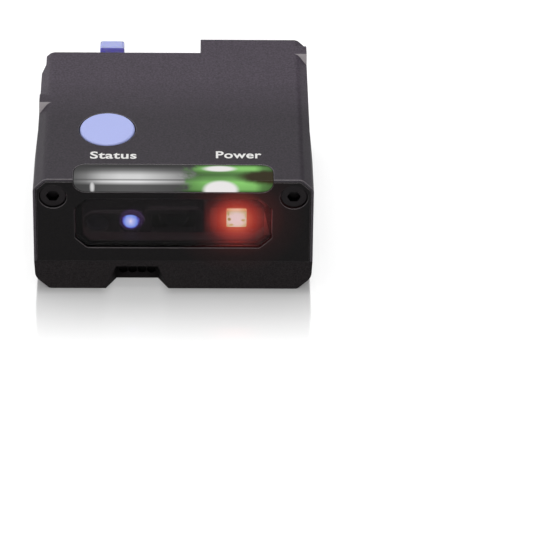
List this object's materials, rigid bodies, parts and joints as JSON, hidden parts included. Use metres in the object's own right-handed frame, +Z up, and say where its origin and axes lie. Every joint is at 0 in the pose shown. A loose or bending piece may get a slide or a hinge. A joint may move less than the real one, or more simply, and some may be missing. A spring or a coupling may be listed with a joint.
{
  "type": "fixed barcode reader",
  "caption": "Compact black fixed-mount barcode reader with a tinted front window, a light pipe over the front edge, a round trigger button and a latched rear cable socket.",
  "frame": {"origin": "on the bottom face, midway between the two mounting inserts", "axes": "+X to the reader's right seen from behind the viewer at the front, +Y from the window to the rear, +Z up"},
  "size_m": [0.0486, 0.043, 0.0238],
  "materials": {
    "case_black": "fine spark-textured black moulding",
    "cover_black": "fine spark-textured black moulding",
    "window_tint": "polished dark tinted pane",
    "gasket_black": "matt closed-cell seal",
    "pipe_clear": "polished clear light guide",
    "button_blue": "satin pale blue moulding",
    "latch_blue": "satin blue moulding",
    "plunger_ivory": "moulded switch plunger",
    "moulding_black": "black component moulding",
    "pcb_green": "solder-masked circuit board",
    "pcb_black": "dark solder-masked circuit board",
    "led_off": "unlit chip LED",
    "led_green": "lit green chip LED",
    "led_blue": "blue chip LED",
    "led_red": "lit red power LED",
    "screw_black": "black oxide steel",
    "steel_bright": "bright zinc-plated steel",
    "insert_brass": "turned brass",
    "contact_gold": "gold-plated contacts",
    "engine_black": "black glass-filled moulding",
    "lens_clear": "polished optical moulding",
    "sensor_dark": "sensor package under cover glass",
    "ceramic_tan": "ceramic chip parts",
    "connector_white": "white connector moulding",
    "flex_amber": "polyimide flex circuit"
  },
  "bodies": {
    "case": {"base_tray": "case_black", "housing": "case_black", "front_cover": "cover_black", "scan_window": "window_tint", "window_gasket": "gasket_black", "light_pipe": "pipe_clear", "switch_body": "moulding_black", "indicator_board": "pcb_green", "status_led": "led_off", "power_led": "led_green", "indicator_screws": "steel_bright", "indicator_flex": "flex_amber", "front_screws": "screw_black", "base_screws": "screw_black", "mounting_inserts": "insert_brass", "engine_chassis": "engine_black", "engine_board": "pcb_black", "engine_screws": "steel_bright", "engine_mount_screws": "steel_bright", "camera_barrel": "engine_black", "camera_lens": "lens_clear", "image_sensor": "sensor_dark", "sensor_board": "pcb_green", "aimer_lens_outer": "lens_clear", "aimer_lens_inner": "lens_clear", "aimer_leds": "led_blue", "illumination_led": "led_red", "illumination_board": "pcb_black", "processor_chip": "moulding_black", "board_components": "ceramic_tan", "flex_connectors": "connector_white", "engine_flex": "flex_amber", "interface_board": "pcb_green", "interface_chip": "moulding_black", "interface_screws": "steel_bright", "cable_socket": "moulding_black", "socket_contacts": "contact_gold", "latch_pin": "steel_bright", "latch_spring": "steel_bright"},
    "button": {"trigger_button": "button_blue", "switch_plunger": "plunger_ivory"},
    "latch": {"latch_lever": "latch_blue"}
  },
  "joints": [
    {"name": "trigger_press", "type": "slide", "parent": "case", "child": "button", "axis": [0, 0, -1], "range_m": [0, 0.0005], "stiffness_N_per_m": 1500},
    {"name": "latch_pivot", "type": "hinge", "parent": "case", "child": "latch", "pos_m": [-0.0113, 0.0198, 0.0156], "axis": [1, 0, 0], "range_deg": [0, 12], "stiffness_Nm_per_rad": 0.05, "deforming": ["latch_spring"]}
  ]
}
